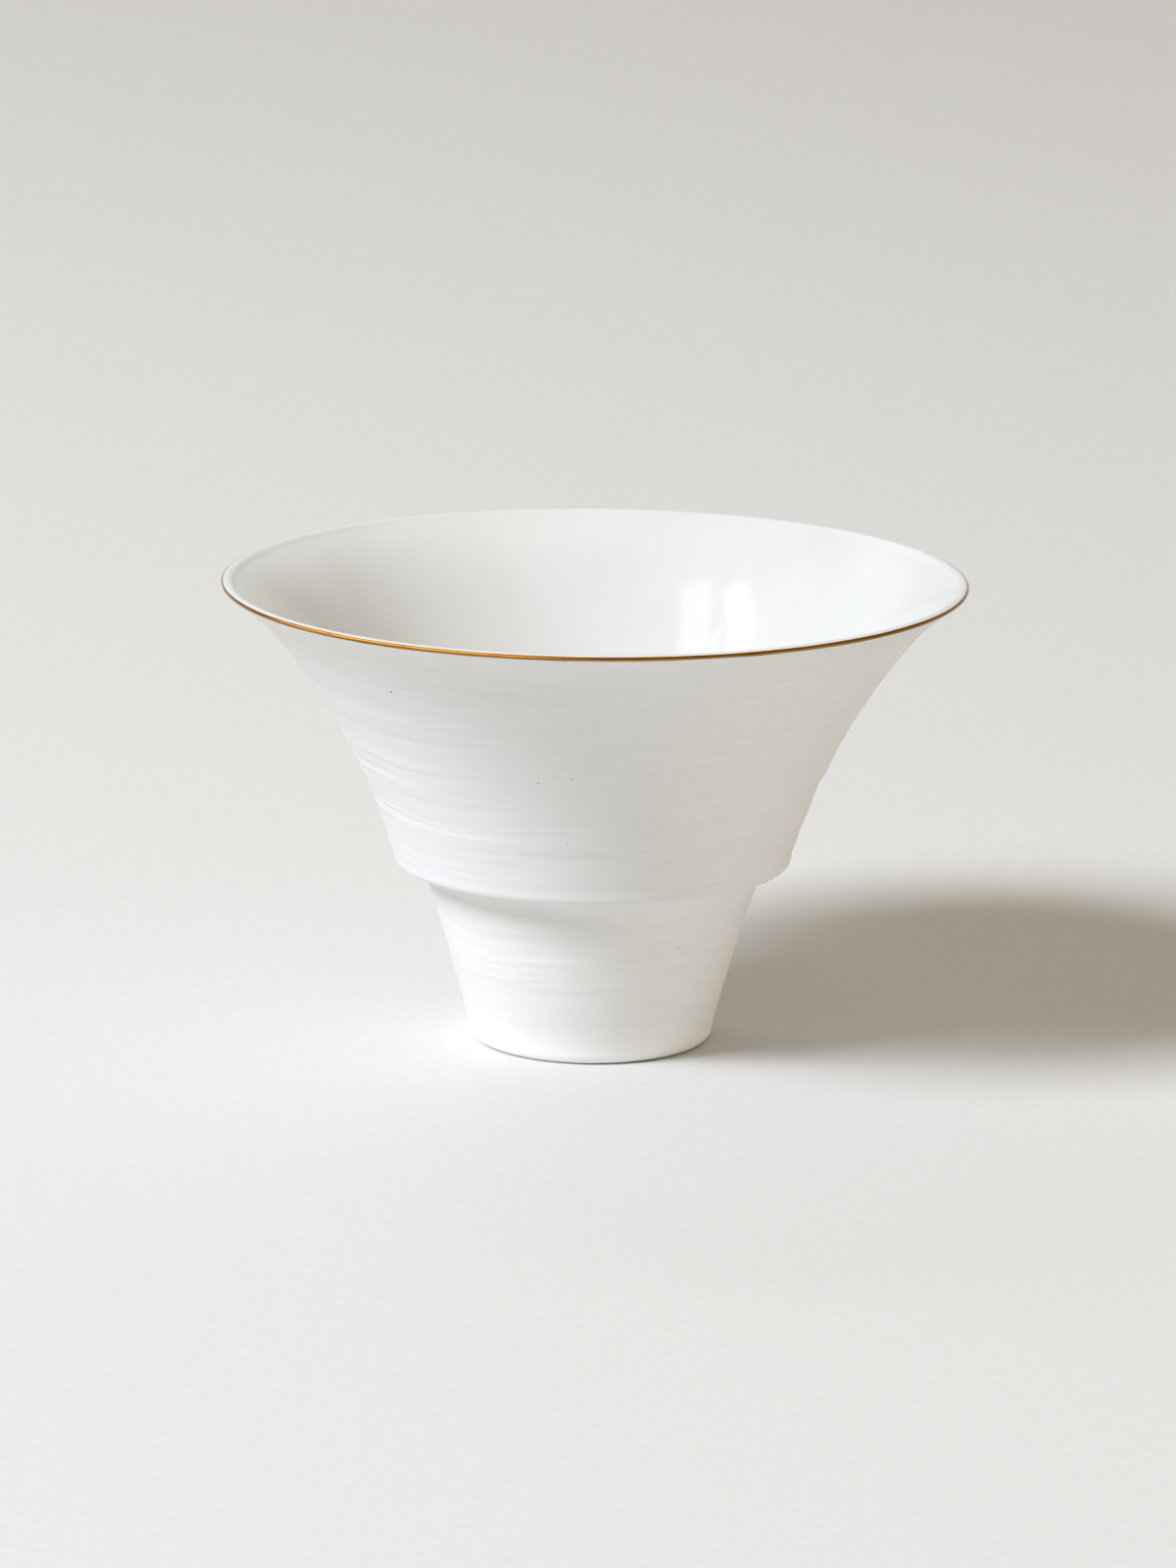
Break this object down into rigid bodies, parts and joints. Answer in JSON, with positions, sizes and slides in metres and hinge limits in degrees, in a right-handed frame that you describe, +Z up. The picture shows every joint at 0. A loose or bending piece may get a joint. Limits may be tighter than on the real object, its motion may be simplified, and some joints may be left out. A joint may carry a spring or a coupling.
{
  "type": "porcelain cup",
  "caption": "Small flared porcelain cup on a stepped foot, brushed outside, glazed inside, with a gilded lip.",
  "frame": {"origin": "centre of the foot ring's resting plane", "axes": "+Z up along the axis the cup is turned about; X and Y lie in the resting plane"},
  "size_m": [0.08, 0.08, 0.0504],
  "materials": {
    "fired_porcelain": "matte",
    "clear_glaze": "gloss",
    "brushed_slip": "satin",
    "base_glaze": "gloss",
    "burnished_gold": "polished"
  },
  "bodies": {
    "root": {"porcelain_body": "fired_porcelain", "inner_glaze": "clear_glaze", "outer_slip_bowl": "brushed_slip", "outer_slip_foot": "brushed_slip", "underside_glaze": "base_glaze", "gold_rim": "burnished_gold"}
  },
  "joints": []
}
